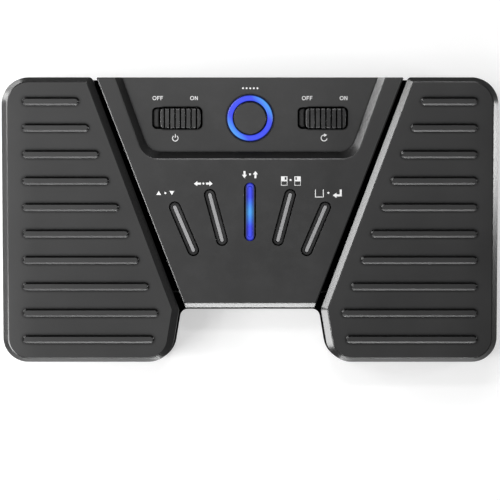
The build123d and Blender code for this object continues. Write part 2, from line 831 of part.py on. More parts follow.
# Diffuser bars, each with a flange under the carrier
for number, (x, y, lean) in enumerate(light_spots, start=1):
    with BuildPart() as mode_light:
        with BuildSketch(cover_top.offset(-cover_plate - carrier_plate)):
            with Locations((x, y)):
                SlotOverall(diffuser_length, diffuser_width, rotation=90 + lean)
        extrude(amount=cover_plate + carrier_plate - bezel_drop + diffuser_rise)
        with BuildSketch(cover_top.offset(-cover_plate - carrier_plate)):
            with Locations((x, y)):
                SlotOverall(
                    light_groove_length + 2 * diffuser_flange,
                    light_groove_width + 2 * diffuser_flange,
                    rotation=90 + lean,
                )
        extrude(amount=-diffuser_flange_thickness)
    mode_light.part.label = f"mode_light_{number}"
    export_step(mode_light.part, f"parts/mode_light_{number}.step")

# Translucent light ring round the mode button, with its flange under the panel
with BuildPart() as mode_light_ring:
    with BuildSketch(panel.offset(-panel_plate - ring_flange_thickness)):
        with Locations(mode_spot):
            Circle(ring_flange_radius)
    extrude(amount=ring_flange_thickness)
    with BuildSketch(panel.offset(-panel_plate)):
        with Locations(mode_spot):
            Circle(ring_outer_radius)
    extrude(amount=panel_plate + ring_rise)
    with BuildSketch(panel.offset(ring_rise)):
        with Locations(mode_spot):
            Circle(ring_inner_radius)
    extrude(amount=-(panel_plate + ring_flange_thickness + ring_rise), mode=Mode.SUBTRACT)
    chamfer(mode_light_ring.faces().sort_by(deck_normal)[-1].edges(), ring_bevel)
mode_light_ring.part.label = "mode_light_ring"
export_step(mode_light_ring.part, "parts/mode_light_ring.step")

# Mode button's cap, with the flange that holds it under the ring and the stem that presses the switch
with BuildPart() as mode_cap:
    with BuildSketch(panel.offset(cap_flange_top)):
        with Locations(mode_spot):
            Circle(cap_radius)
    extrude(amount=cap_rise - cap_flange_top)
    chamfer(mode_cap.faces().sort_by(deck_normal)[-1].edges(), cap_bevel)
    with BuildSketch(panel.offset(cap_flange_top)):
        with Locations(mode_spot):
            Circle(cap_flange_radius)
    extrude(amount=-cap_flange_thickness)
    with BuildSketch(panel.offset(plunger_top)):
        with Locations(mode_spot):
            Circle(cap_stem_radius)
    extrude(amount=cap_flange_top - plunger_top)
mode_cap.part.label = "mode_cap"
export_step(mode_cap.part, "parts/mode_cap.step")

# Plunger of the mode switch, which the cap presses
with BuildPart() as mode_plunger:
    with BuildSketch(panel.offset(plunger_top)):
        with Locations(mode_spot):
            Circle(plunger_radius)
    extrude(amount=-(plunger_rise + plunger_depth))
mode_plunger.part.label = "mode_plunger"
export_step(mode_plunger.part, "parts/mode_plunger.step")

# Mode switch on the main board, bored for its plunger
with BuildPart() as mode_switch:
    with BuildSketch(board_top):
        with Locations(mode_spot):
            Rectangle(tact_size, tact_size)
    extrude(amount=tact_height)
    with BuildSketch(board_top.offset(tact_height)):
        with Locations(mode_spot):
            Circle(plunger_radius + plunger_clearance)
    extrude(amount=-(plunger_depth + cap_travel + plunger_clearance), mode=Mode.SUBTRACT)
mode_switch.part.label = "mode_switch"
export_step(mode_switch.part, "parts/mode_switch.step")

# Slide switches: body on the board, lever in its slot, grooved knob on the lever, all at the ON end
for name, (x, y) in switch_spots.items():
    knob_spot = (x + knob_travel / 2, y)
    with BuildPart() as switch_body:
        with BuildSketch(board_top):
            with Locations((x, y)):
                Rectangle(switch_length, switch_width)
        extrude(amount=switch_height)
        with BuildSketch(board_top.offset(switch_height)):
            with Locations((x, y)):
                Rectangle(
                    lever_length + knob_travel + 2 * lever_clearance,
                    lever_width + 2 * lever_clearance,
                )
        extrude(amount=-lever_depth, mode=Mode.SUBTRACT)
    switch_body.part.label = f"{name}_switch"
    export_step(switch_body.part, f"parts/{name}_switch.step")

    with BuildPart() as lever:
        with BuildSketch(board_top.offset(switch_height - lever_depth + lever_clearance)):
            with Locations(knob_spot):
                Rectangle(lever_length, lever_width)
        extrude(amount=lever_depth + knob_gap + lever_socket - 2 * lever_clearance)
    lever.part.label = f"{name}_lever"
    export_step(lever.part, f"parts/{name}_lever.step")

    with BuildPart() as knob:
        with BuildSketch(panel.offset(-panel_plate - knob_gap)):
            with Locations(knob_spot):
                RectangleRounded(knob_length, knob_width, knob_corner_radius)
        extrude(amount=panel_plate + knob_gap + knob_rise)
        fillet(knob.faces().sort_by(deck_normal)[-1].edges(), knob_edge_radius)
        with BuildSketch(panel.offset(knob_rise)):
            with Locations(knob_spot):
                with GridLocations(groove_pitch, 0, groove_count, 1):
                    Rectangle(groove_width, slot_width)
        extrude(amount=-groove_depth, mode=Mode.SUBTRACT)
        with BuildSketch(panel.offset(-knob_flange_bottom)):
            with Locations(knob_spot):
                Rectangle(knob_flange_length, slot_width + 2 * knob_flange_lap)
        extrude(amount=knob_flange_thickness)
        with BuildSketch(panel.offset(-knob_flange_bottom)):
            with Locations(knob_spot):
                Rectangle(lever_length + 2 * lever_clearance, lever_width + 2 * lever_clearance)
        extrude(amount=lever_socket, mode=Mode.SUBTRACT)
    knob.part.label = f"{name}_knob"
    export_step(knob.part, f"parts/{name}_knob.step")

# Main board, parallel to the top, screwed to the cover's bosses
with BuildPart() as main_board:
    with BuildSketch(board_level):
        corners = moved_in(cover_corners, board_insets)
        add(outline(corners, [cover_corner_radius] * len(corners), deck_stretch))
        with Locations(*board_screw_spots(deck_stretch)):
            Circle(board_screw_radius + pilot_clearance, mode=Mode.SUBTRACT)
    extrude(amount=-board_thickness)
main_board.part.label = "main_board"
export_step(main_board.part, "parts/main_board.step")

# Light emitters on the board: a pair under each bar and a ring of them under the light ring
with BuildPart() as light_emitters:
    with BuildSketch(cover_top.offset(cover_drop - board_depth)):
        for x, y, lean in light_spots:
            for side in (-emitter_spread, emitter_spread):
                with Locations((x - side * sin(radians(lean)), y + side * cos(radians(lean)))):
                    Rectangle(emitter_width, emitter_length, rotation=lean)
    extrude(amount=emitter_height)
    with BuildSketch(board_top):
        with Locations(mode_spot):
            with PolarLocations((ring_outer_radius + ring_inner_radius) / 2, ring_emitter_count):
                Rectangle(emitter_width, emitter_length)
    extrude(amount=emitter_height)
light_emitters.part.label = "light_emitters"
export_step(light_emitters.part, "parts/light_emitters.step")

# Radio module: a small board under a shield can, soldered on the main board
with BuildPart() as radio_module:
    with BuildSketch(board_level):
        with Locations((0, (cover_front_y + radio_front_inset) * deck_stretch)):
            Rectangle(radio_length, radio_width)
    extrude(amount=radio_board)
    with BuildSketch(board_level.offset(radio_board)):
        with Locations((0, (cover_front_y + radio_front_inset) * deck_stretch)):
            Rectangle(radio_length - 2 * radio_margin, radio_width - 2 * radio_margin)
    extrude(amount=radio_shield)
radio_module.part.label = "radio_module"
export_step(radio_module.part, "parts/radio_module.step")

# Charging socket under the board's back edge: a shell with a mouth and a tongue
socket_mouth = Plane(
    origin=(0, half_depth - pocket_depth, socket_z),
    x_dir=(-1, 0, 0),
    z_dir=(0, cos(deck_angle), sin(deck_angle)),
)
with BuildPart() as charging_socket:
    with BuildSketch(socket_mouth):
        SlotOverall(socket_width, socket_height)
    extrude(amount=-socket_depth)
    with BuildSketch(socket_mouth):
        SlotOverall(socket_width - 2 * socket_wall, socket_height - 2 * socket_wall)
    extrude(amount=-socket_mouth_depth, mode=Mode.SUBTRACT)
    with BuildSketch(socket_mouth.offset(-socket_mouth_depth)):
        Rectangle(tongue_width, tongue_height)
    extrude(amount=tongue_depth)
charging_socket.part.label = "charging_socket"
export_step(charging_socket.part, "parts/charging_socket.step")

# Screws that hold the board to the cover, their heads under the board
with BuildPart() as board_screws:
    with BuildSketch(board_level.offset(-board_thickness)):
        with Locations(*board_screw_spots(deck_stretch)):
            Circle(board_screw_head_radius)
    extrude(amount=-board_screw_head)
    with BuildSketch(board_level.offset(-board_thickness)):
        with Locations(*board_screw_spots(deck_stretch)):
            Circle(board_screw_radius)
    extrude(amount=board_screw_length)
board_screws.part.label = "board_screws"
export_step(board_screws.part, "parts/board_screws.step")

# Screws that hold the cover to the base, their heads in wells under the base
cover_spots = cover_screw_spots(-1) + cover_screw_spots(1)
cover_screw_seat = band_top - screw_seat
with BuildPart() as cover_screws:
    with BuildSketch(Plane.XY.offset(cover_screw_seat)):
        with Locations(*cover_spots):
            Circle(cover_screw_head_radius)
    extrude(amount=-cover_screw_head)
    with BuildSketch(Plane.XY.offset(cover_screw_seat)):
        with Locations(*cover_spots):
            Circle(cover_screw_radius)
    extrude(amount=cover_screw_length)
    with BuildSketch(Plane.XY.offset(cover_screw_seat - cover_screw_head)):
        with Locations(*cover_spots):
            Rectangle(2 * drive_radius, drive_radius / 2)
            Rectangle(drive_radius / 2, 2 * drive_radius)
    extrude(amount=drive_depth, mode=Mode.SUBTRACT)
cover_screws.part.label = "cover_screws"
export_step(cover_screws.part, "parts/cover_screws.step")

# Battery on its foam pad, inside the fence on the base's floor
with BuildPart() as battery_foam:
    with BuildSketch(Plane.XY.offset(floor_top)):
        with Locations((0, battery_y)):
            Rectangle(battery_length, battery_width)
    extrude(amount=battery_pad)
battery_foam.part.label = "battery_pad"
export_step(battery_foam.part, "parts/battery_pad.step")

with BuildPart() as battery:
    with BuildSketch(Plane.XY.offset(floor_top + battery_pad)):
        with Locations((0, battery_y)):
            Rectangle(battery_length, battery_width)
    extrude(amount=battery_height)
    fillet(battery.edges().filter_by(Axis.X), battery_edge_radius)
battery.part.label = "battery"
export_step(battery.part, "parts/battery.step")

# Battery lead: back from the cell, then up to the underside of the main board
with BuildPart() as battery_lead:
    lead_back_y = battery_y + battery_width / 2
    lead_up_y = lead_back_y + battery_lead_run
    cell_z = floor_top + battery_pad + battery_height / 2
    with BuildLine():
        route = FilletPolyline(
            (battery_lead_offset, lead_back_y, cell_z),
            (battery_lead_offset, lead_up_y, cell_z),
            (battery_lead_offset, lead_up_y, deck_height(lead_up_y - lead_radius, board_bottom)),
            radius=lead_rise_radius,
        )
    with BuildSketch(Plane(origin=route @ 0, z_dir=route % 0)):
        Circle(lead_radius)
    sweep()
battery_lead.part.label = "battery_lead"
export_step(battery_lead.part, "parts/battery_lead.step")

# Contact board under the left pedal, on posts that stand on the base's floor
with BuildPart() as left_sensor_board:
    with BuildSketch(Plane.XY.offset(sensor_bottom)):
        with Locations((sensor_x, sensor_y)):
            Rectangle(sensor_board_width, sensor_board_depth)
        with Locations(*sensor_screw_spots):
            Circle(board_screw_radius + pilot_clearance, mode=Mode.SUBTRACT)
    extrude(amount=board_thickness)
left_sensor_board.part.label = "left_sensor_board"
export_step(left_sensor_board.part, "parts/left_sensor_board.step")

# Screws that hold the contact board down on its posts
with BuildPart() as left_sensor_screws:
    with BuildSketch(Plane.XY.offset(strip_bottom)):
        with Locations(*sensor_screw_spots):
            Circle(board_screw_head_radius)
    extrude(amount=board_screw_head)
    with BuildSketch(Plane.XY.offset(strip_bottom)):
        with Locations(*sensor_screw_spots):
            Circle(board_screw_radius)
    extrude(amount=-board_screw_length)
left_sensor_screws.part.label = "left_sensor_screws"
export_step(left_sensor_screws.part, "parts/left_sensor_screws.step")

# Silicone strip on the contact board, with the two hollow domes that push the pedal back up
with BuildPart() as left_dome_strip:
    with BuildSketch(Plane.XY.offset(strip_bottom)):
        with Locations((sensor_x, sensor_y)):
            Rectangle(
                dome_spacing + 2 * (dome_radius + strip_margin),
                2 * (dome_radius - strip_margin / 2) + 2 * strip_margin,
            )
    extrude(amount=strip_thickness)
    for x, y in dome_spots:
        dome_plane = Plane(
            origin=(x, y, strip_bottom + strip_thickness), x_dir=(1, 0, 0), z_dir=(0, -1, 0)
        )
        with BuildSketch(dome_plane):
            with BuildLine():
                Polyline(
                    (0, dome_height),
                    (dome_cap_radius, dome_height),
                    (dome_cap_radius, dome_height - dome_cap_height),
                    (dome_radius, 0),
                    (dome_radius - dome_wall, 0),
                    (dome_cap_radius - dome_wall, dome_height - dome_cap_height - dome_wall),
                    (0, dome_height - dome_cap_height - dome_wall),
                    close=True,
                )
            make_face()
        revolve(axis=Axis((x, y, 0), (0, 0, 1)))
left_dome_strip.part.label = "left_dome_strip"
export_step(left_dome_strip.part, "parts/left_dome_strip.step")

# Rubber pad on its post, which stops the pedal at the bottom of its travel
with BuildPart() as left_stop_pad:
    with BuildSketch(Plane.XY.offset(stop_pad_top - stop_pad_thickness)):
        with Locations(stop_spot):
            Circle(stop_radius)
    extrude(amount=stop_pad_thickness)
left_stop_pad.part.label = "left_stop_pad"
export_step(left_stop_pad.part, "parts/left_stop_pad.step")

# Lead from the contact board, through the base's wall, up to the main board
with BuildPart() as left_sensor_lead:
    with BuildLine():
        route = FilletPolyline(
            (sensor_inner_end, lead_y, lead_top_z),
            (lead_fall_x, lead_y, lead_top_z),
            (lead_floor_x, lead_y, lead_z),
            (lead_rise_x, lead_y, lead_z),
            (lead_rise_x, lead_y, deck_height(lead_y - lead_radius, board_bottom)),
            radius=[lead_bend_radius, lead_bend_radius, lead_rise_radius],
        )
    with BuildSketch(Plane(origin=route @ 0, z_dir=route % 0)):
        Circle(lead_radius)
    sweep()
left_sensor_lead.part.label = "left_sensor_lead"
export_step(left_sensor_lead.part, "parts/left_sensor_lead.step")

# Rubber feet, set into the base's underside
with BuildPart() as rubber_feet:
    with BuildSketch():
        with Locations(*foot_spots(-1), *foot_spots(1)):
            Circle(foot_radius)
    extrude(amount=foot_height + foot_sink)
    fillet(rubber_feet.faces().filter_by(Axis.Z).group_by(Axis.Z)[0].edges(), foot_edge_radius)
rubber_feet.part.label = "rubber_feet"
export_step(rubber_feet.part, "parts/rubber_feet.step")

# Right-hand pieces, each the mirror image of its left one
left_pieces = [
    left_pedal,
    left_hinge_pin,
    left_sensor_board,
    left_sensor_screws,
    left_dome_strip,
    left_stop_pad,
    left_sensor_lead,
]
for left in left_pieces:
    with BuildPart() as right:
        mirror(left.part, about=Plane.YZ)
    right.part.label = left.part.label.replace("left", "right")
    export_step(right.part, f"parts/{right.part.label}.step")
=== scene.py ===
"""A two-pedal page turner on a white floor: its finishes, its print, its rubber domes and its light."""
import json
import math

import bmesh
import bpy
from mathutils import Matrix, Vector


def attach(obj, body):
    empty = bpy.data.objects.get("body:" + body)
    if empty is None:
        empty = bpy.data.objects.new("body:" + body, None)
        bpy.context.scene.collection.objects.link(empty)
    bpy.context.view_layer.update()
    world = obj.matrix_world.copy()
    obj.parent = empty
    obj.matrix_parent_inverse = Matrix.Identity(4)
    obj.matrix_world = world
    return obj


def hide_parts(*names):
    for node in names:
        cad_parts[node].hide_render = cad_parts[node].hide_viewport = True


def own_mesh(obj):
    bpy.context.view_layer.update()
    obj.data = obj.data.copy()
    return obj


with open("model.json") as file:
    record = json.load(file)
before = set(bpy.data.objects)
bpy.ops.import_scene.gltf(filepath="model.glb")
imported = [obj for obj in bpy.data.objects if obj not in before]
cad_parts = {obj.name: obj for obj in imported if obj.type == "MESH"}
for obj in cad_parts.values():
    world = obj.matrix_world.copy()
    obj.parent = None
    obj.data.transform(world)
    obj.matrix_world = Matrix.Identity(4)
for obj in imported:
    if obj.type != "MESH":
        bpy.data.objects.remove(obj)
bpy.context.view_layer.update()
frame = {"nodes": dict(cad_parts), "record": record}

scene = bpy.context.scene

# Sizes of the object in millimetres. Finishes, lamps and the camera use metres.
MM = 0.001
DEPTH, HEIGHT, FRONT_HEIGHT = 126.0, 30.0, 22.0
SLOPE = (HEIGHT - FRONT_HEIGHT) / DEPTH
LEAN = math.atan(SLOPE)
MIDDLE = (HEIGHT + FRONT_HEIGHT) / 2

# How deep the cover and the sunk panel lie under the pedal tops, square to them
COVER_DROP = 0.8
PANEL_DROP = 3.4

# Middles of the mode ring and of the lit bar, in metres
RING_Y = 0.045
BAR_Y = 0.0035
LIT_PIECE = "mode_light_3"

# Places on the socket lists of a mix node: its factor, its two numbers or colours, and its outcome
MIX_FACTOR = 0
NUMBER_FIRST, NUMBER_SECOND, NUMBER_RESULT = 2, 3, 0
COLOUR_FIRST, COLOUR_SECOND, COLOUR_RESULT = 6, 7, 2

NOOK_SAMPLES = 8
EDGE_SAMPLES = 6

WHITE = (1.0, 1.0, 1.0)
BLACK = (0.0, 0.0, 0.0)
RISING = (0.0, 1.0)
FALLING = (1.0, 0.0)


# Small parts of the finishes

def new_material(name):
    """Material with one plain shader, its nodes, and that shader."""
    mat = bpy.data.materials.new(name)
    mat.use_nodes = True
    nodes = mat.node_tree.nodes
    nodes.clear()
    out = nodes.new("ShaderNodeOutputMaterial")
    shader = nodes.new("ShaderNodeBsdfPrincipled")
    mat.node_tree.links.new(shader.outputs["BSDF"], out.inputs["Surface"])
    return mat, mat.node_tree, shader


def node(tree, kind, inputs=None, **settings):
    """New node, with each input linked to a socket or set to a value."""
    made = tree.nodes.new(kind)
    for key, value in settings.items():
        setattr(made, key, value)
    for key, value in (inputs or {}).items():
        if isinstance(value, bpy.types.NodeSocket):
            tree.links.new(value, made.inputs[key])
        else:
            made.inputs[key].default_value = value
    return made


def maths(tree, operation, *values):
    """Outcome of an operation on one or more numbers."""
    return node(tree, "ShaderNodeMath", dict(enumerate(values)), operation=operation).outputs[0]


def vector_maths(tree, operation, *values):
    """Outcomes, Vector and Value, of an operation on vectors."""
    return node(tree, "ShaderNodeVectorMath", dict(enumerate(values)), operation=operation).outputs


def split(tree, vector):
    """The X, Y and Z of a vector."""
    return node(tree, "ShaderNodeSeparateXYZ", {0: vector}).outputs


def place(tree):
    """Where a point of the surface is in the object's own frame."""
    return node(tree, "ShaderNodeTexCoord").outputs["Object"]


def facing(tree):
    """Which way the surface faces in the object's own frame."""
    return node(tree, "ShaderNodeTexCoord").outputs["Normal"]


def noise(tree, scale, detail=3.0, rough=0.55, vector=None):
    """Cloudy noise from none to one, with so many clouds to the metre."""
    inputs = {"Scale": scale, "Detail": detail, "Roughness": rough, "Vector": vector or place(tree)}
    return node(tree, "ShaderNodeTexNoise", inputs).outputs["Fac"]


def ranged(tree, value, source, target=RISING):
    """A value moved from one range to another and kept within it."""
    inputs = {
        "Value": value,
        "From Min": source[0], "From Max": source[1],
        "To Min": target[0], "To Max": target[1],
    }
    return node(tree, "ShaderNodeMapRange", inputs, clamp=True).outputs["Result"]


def mixed(tree, factor, first, second):
    """Colour between two colours, or sockets that give them."""
    made = node(tree, "ShaderNodeMix", {MIX_FACTOR: factor}, data_type="RGBA")
    for index, colour in ((COLOUR_FIRST, first), (COLOUR_SECOND, second)):
        if isinstance(colour, bpy.types.NodeSocket):
            tree.links.new(colour, made.inputs[index])
        else:
            made.inputs[index].default_value = (*colour, 1.0)
    return made.outputs[COLOUR_RESULT]


def blended(tree, factor, first, second):
    """Number between two numbers, or sockets that give them."""
    inputs = {MIX_FACTOR: factor, NUMBER_FIRST: first, NUMBER_SECOND: second}
    return node(tree, "ShaderNodeMix", inputs, data_type="FLOAT").outputs[NUMBER_RESULT]


def scaled(colour, share):
    """A colour made brighter or darker."""
    return tuple(part * share for part in colour)


def openness(tree, distance):
    """One where nothing stands within a distance, and less the more of the view is taken there."""
    inputs = {"Distance": distance}
    return node(tree, "ShaderNodeAmbientOcclusion", inputs, samples=NOOK_SAMPLES).outputs["AO"]


def rise(tree):
    """How level a surface is with the pedal tops: one on the tops, none on an upright wall."""
    up = (0.0, -math.sin(LEAN), math.cos(LEAN))
    return vector_maths(tree, "DOT_PRODUCT", facing(tree), up)["Value"]


def fronts(tree, low, high):
    """From low on the walls that face the front to high on all others."""
    from_front_to_other = (-0.5, -0.3)
    return ranged(tree, split(tree, facing(tree))["Y"], from_front_to_other, (low, high))


def crowned(tree, start=0.095, fall=2.5):
    """Height of a top that rolls off gently past a distance from the middle, all in metres."""
    side = maths(tree, "ABSOLUTE", split(tree, place(tree))["X"])
    past = maths(tree, "MAXIMUM", maths(tree, "SUBTRACT", side, start), 0.0)
    return maths(tree, "MULTIPLY", maths(tree, "MULTIPLY", past, past), -fall)


def bumped(tree, shader, height, strength, distance, edge=None, crown=False):
    """Fine relief on a surface, over edges rounded by a radius and over the crown of a top."""
    bump = node(tree, "ShaderNodeBump", {"Strength": strength, "Distance": distance, "Height": height})
    under = None
    if edge:
        under = node(tree, "ShaderNodeBevel", {"Radius": edge}, samples=EDGE_SAMPLES).outputs["Normal"]
    if crown:
        roll = {"Strength": 1.0, "Distance": 1.0, "Height": crowned(tree), "Normal": under}
        under = node(tree, "ShaderNodeBump", roll).outputs["Normal"]
    if under is not None:
        tree.links.new(under, bump.inputs["Normal"])
    tree.links.new(bump.outputs["Normal"], shader.inputs["Normal"])


# Black mouldings

def moulded_colour(tree, dark, light, wear):
    """Cloudy colour with pale specks, paler still where edges are worn."""
    clouds = ranged(tree, noise(tree, scale=18.0, detail=4.0, rough=0.6), (0.35, 0.68))
    colour = mixed(tree, clouds, dark, light)
    specks = ranged(tree, noise(tree, scale=900.0, detail=2.0, rough=0.7), (0.55, 0.75), (0.0, 0.25))
    colour = mixed(tree, specks, colour, scaled(light, 1.7))
    shape = node(tree, "ShaderNodeNewGeometry").outputs["Pointiness"]
    edges = ranged(tree, shape, (0.52, 0.6))
    patches = noise(tree, scale=120.0, detail=5.0, rough=0.7)
    worn = maths(tree, "MULTIPLY", edges, ranged(tree, patches, (0.45, 0.75), (0.0, wear)))
    return mixed(tree, worn, colour, scaled(light, 4.0))


def painted_lip_highlight(tree):
    """One on the front walls of raised grips, where a pale painted highlight goes."""
    closed = ranged(tree, openness(tree, distance=0.003), (0.9, 0.97), FALLING)
    front = maths(tree, "MULTIPLY", fronts(tree, 1.0, 0.0), closed)
    sloped = ranged(tree, rise(tree), (0.3, 0.5))
    return maths(tree, "MULTIPLY", front, sloped)


def darkened(tree, nook, hollow, lip):
    """Painted shade: one in level nooks, hollow on steep walls of hollows, and lip, where given, on their
    front walls, so that the painted shade is weaker on walls that face the front.
    """
    from_steep_to_level = (0.75, 0.88)
    level = ranged(tree, rise(tree), from_steep_to_level)
    steep = ranged(tree, rise(tree), from_steep_to_level, FALLING)
    near = ranged(tree, openness(tree, nook), (0.84, 0.97), FALLING)
    wide = ranged(tree, openness(tree, distance=0.01), (0.86, 0.96), FALLING)
    share = hollow if lip is None else fronts(tree, lip, hollow)
    walls = maths(tree, "MULTIPLY", maths(tree, "MULTIPLY", wide, share), steep)
    return maths(tree, "MAXIMUM", maths(tree, "MULTIPLY", near, level), walls)


def moulded_roughness(tree, rough, polish):
    """Smears with faint rubbing marks across them, and, where a polish is given, even bevels."""
    marks = {"Vector": place(tree), "Scale": (30.0, 900.0, 30.0), "Rotation": (0.0, 0.0, 0.5)}
    across = node(tree, "ShaderNodeMapping", marks).outputs["Vector"]
    streaks = noise(tree, scale=1.0, rough=0.6, vector=across)
    smears = noise(tree, scale=35.0, detail=4.0, rough=0.6)
    marked = maths(tree, "MULTIPLY", smears, ranged(tree, streaks, (0.3, 0.8), (0.94, 1.06)))
    matt = ranged(tree, marked, (0.3, 0.75), rough)
    if polish is None:
        return matt
    leaning = ranged(tree, rise(tree), (0.25, 0.5))
    off_level = ranged(tree, rise(tree), (0.965, 0.99), FALLING)
    bevels = maths(tree, "MULTIPLY", leaning, off_level)
    return blended(tree, bevels, matt, polish)


def moulded(name, dark, light, rough=(0.36, 0.5), grain_depth=0.00002, wear=0.35, specular=0.5,
            crown=False, nook=0.0011, hollow=0.85, lip=None, polish=None):
    """Moulded plastic: cloudy colour, worn edges, painted shade in nooks and on walls of hollows, a painted
    highlight on the front walls of grips where lip is given, spark-eroded grain and faint rubbing marks.
    """
    painted_highlight_grey, painted_shade_black = (0.06, 0.06, 0.061), (0.001, 0.001, 0.001)
    mat, tree, shader = new_material(name)
    colour = moulded_colour(tree, dark, light, wear)
    # Painted highlight: a pale grey line on the front walls of the grips
    if lip is not None:
        colour = mixed(tree, painted_lip_highlight(tree), colour, painted_highlight_grey)
    # Painted shade: near black in nooks and on walls of hollows, in the colour and in the tint of the
    # reflection
    painted_shade = darkened(tree, nook, hollow, lip)
    colour = mixed(tree, painted_shade, colour, painted_shade_black)
    tree.links.new(colour, shader.inputs["Base Color"])
    tree.links.new(mixed(tree, painted_shade, WHITE, BLACK), shader.inputs["Specular Tint"])
    tree.links.new(moulded_roughness(tree, rough, polish), shader.inputs["Roughness"])
    shader.inputs["Specular IOR Level"].default_value = specular
    grain = noise(tree, scale=2600.0, detail=2.0, rough=0.6)
    bumped(tree, shader, grain, strength=0.35, distance=grain_depth, edge=0.00008, crown=crown)
    return mat


# Metal, ink, rubber and boards

def metal(name, colour, rough=(0.25, 0.42), grain=900.0):
    """Plated or ground metal with fine marks."""
    mat, tree, shader = new_material(name)
    shader.inputs["Metallic"].default_value = 1.0
    clouds = noise(tree, scale=60.0, detail=4.0, rough=0.6)
    tree.links.new(mixed(tree, clouds, scaled(colour, 0.8), colour), shader.inputs["Base Color"])
    tree.links.new(ranged(tree, noise(tree, scale=400.0), (0.3, 0.7), rough), shader.inputs["Roughness"])
    bumped(tree, shader, noise(tree, grain, detail=2.0), strength=0.2, distance=0.00001, edge=0.0001)
    return mat


def printed(name):
    """Screen-printed white ink: slightly uneven, matte."""
    mat, tree, shader = new_material(name)
    clouds = noise(tree, scale=500.0, rough=0.6)
    ink = mixed(tree, clouds, scaled(WHITE, 0.78), scaled(WHITE, 0.86))
    tree.links.new(ink, shader.inputs["Base Color"])
    shader.inputs["Roughness"].default_value = 0.55
    bumped(tree, shader, noise(tree, scale=2500.0, detail=2.0), strength=0.2, distance=0.00001)
    return mat


def rubber(name, dark, light, rough=(0.55, 0.75), scatter=None):
    """Rubber or silicone: matte, dusty in patches, and light passes some way into it if it scatters."""
    mat, tree, shader = new_material(name)
    dusty = ranged(tree, noise(tree, scale=90.0, detail=5.0, rough=0.65), (0.3, 0.7))
    tree.links.new(mixed(tree, dusty, dark, light), shader.inputs["Base Color"])
    tree.links.new(ranged(tree, noise(tree, scale=200.0), (0.3, 0.7), rough), shader.inputs["Roughness"])
    if scatter:
        shader.inputs["Subsurface Weight"].default_value = scatter
        shader.inputs["Subsurface Radius"].default_value = (0.002, 0.002, 0.002)
    bumped(tree, shader, noise(tree, scale=1800.0), strength=0.3, distance=0.00002, edge=0.0002)
    return mat


def circuit(name):
    """Green solder mask over copper tracks."""
    mat, tree, shader = new_material(name)
    tracks = node(tree, "ShaderNodeTexBrick", {
        "Vector": place(tree), "Scale": 260.0, "Mortar Size": 0.03,
        "Color1": (0.01, 0.12, 0.04, 1.0), "Color2": (0.012, 0.15, 0.05, 1.0),
        "Mortar": (0.02, 0.24, 0.09, 1.0),
    }).outputs
    tree.links.new(tracks["Color"], shader.inputs["Base Color"])
    shader.inputs["Roughness"].default_value = 0.3
    bumped(tree, shader, tracks["Fac"], strength=0.3, distance=0.00003)
    return mat


# Lit pieces

def glowing(name, base, glow=None, strength=0.0):
    """Translucent moulding, lit from below where a function gives the light's colour."""
    mat, tree, shader = new_material(name)
    clouds = noise(tree, scale=300.0, rough=0.6)
    tree.links.new(mixed(tree, clouds, scaled(base, 0.85), base), shader.inputs["Base Color"])
    shader.inputs["Roughness"].default_value = 0.35
    shader.inputs["Subsurface Weight"].default_value = 0.1
    shader.inputs["Subsurface Radius"].default_value = (0.0008, 0.0008, 0.0008)
    if glow:
        # Painted shade: the glow fades to dim blue in tight nooks
        dim_blue = (0.0, 0.003, 0.04)
        dim = ranged(tree, openness(tree, distance=0.0006), (0.3, 0.8), (0.85, 0.0))
        tree.links.new(mixed(tree, dim, glow(tree), dim_blue), shader.inputs["Emission Color"])
        shader.inputs["Emission Strength"].default_value = strength
    grain = noise(tree, scale=3000.0, detail=2.0)
    bumped(tree, shader, grain, strength=0.15, distance=0.00001, edge=0.00015)
    return mat


def ring_glow(tree):
    """Blue, paler to the upper right and the lower left of the ring, and dark past its rim."""
    upper_right = (0.78, 0.62, 0.0)
    deep, pale, rim = (0.055, 0.085, 0.97), (0.08, 0.4, 1.0), (0.0, 0.002, 0.02)
    out = vector_maths(tree, "ADD", place(tree), (0.0, -RING_Y, 0.0))["Vector"]
    slant = vector_maths(tree, "DOT_PRODUCT", out, upper_right)["Value"]
    share = ranged(tree, maths(tree, "ABSOLUTE", slant), (0.0062, 0.0095))
    blue = mixed(tree, share, deep, pale)
    flat = vector_maths(tree, "MULTIPLY", out, (1.0, 1.0, 0.0))["Vector"]
    radius = vector_maths(tree, "LENGTH", flat)["Value"]
    return mixed(tree, ranged(tree, radius, (0.0098, 0.0101)), blue, rim)


def along_bar(tree, vector):
    """How far a place is from the middle of the lit bar, towards the front or the back."""
    return maths(tree, "ABSOLUTE", maths(tree, "ADD", split(tree, vector)["Y"], -BAR_Y))


def bar_glow(tree):
    """Blue at both ends of the lit bar, paler in the middle."""
    deep, pale = (0.045, 0.07, 0.97), (0.07, 0.42, 1.0)
    share = ranged(tree, along_bar(tree, place(tree)), (0.0005, 0.0065), FALLING)
    return mixed(tree, share, deep, pale)


def lit_by_bar(mat, strength, half_length=0.0112, reach=(0.0009, 0.0019)):
    """Gives a finish the blue that the lit bar throws on what is close round it, within a reach."""
    tree = mat.node_tree
    shader = tree.nodes["Principled BSDF"]
    spot = place(tree)
    past = maths(tree, "MAXIMUM", maths(tree, "SUBTRACT", along_bar(tree, spot), half_length), 0.0)
    flat = node(tree, "ShaderNodeCombineXYZ", {"X": split(tree, spot)["X"], "Y": past}).outputs[0]
    away = vector_maths(tree, "LENGTH", flat)["Value"]
    share = ranged(tree, away, reach, FALLING)
    tree.links.new(mixed(tree, share, BLACK, bar_glow(tree)), shader.inputs["Emission Color"])
    shader.inputs["Emission Strength"].default_value = strength


# Look of each colour slot of the record: how it is made, and with what. Colours are linear.

FINE_GRAIN = 0.000008
BLUE_MOULDING = (0.01, 0.015, 0.1)
GLOW_STRENGTH = 0.85
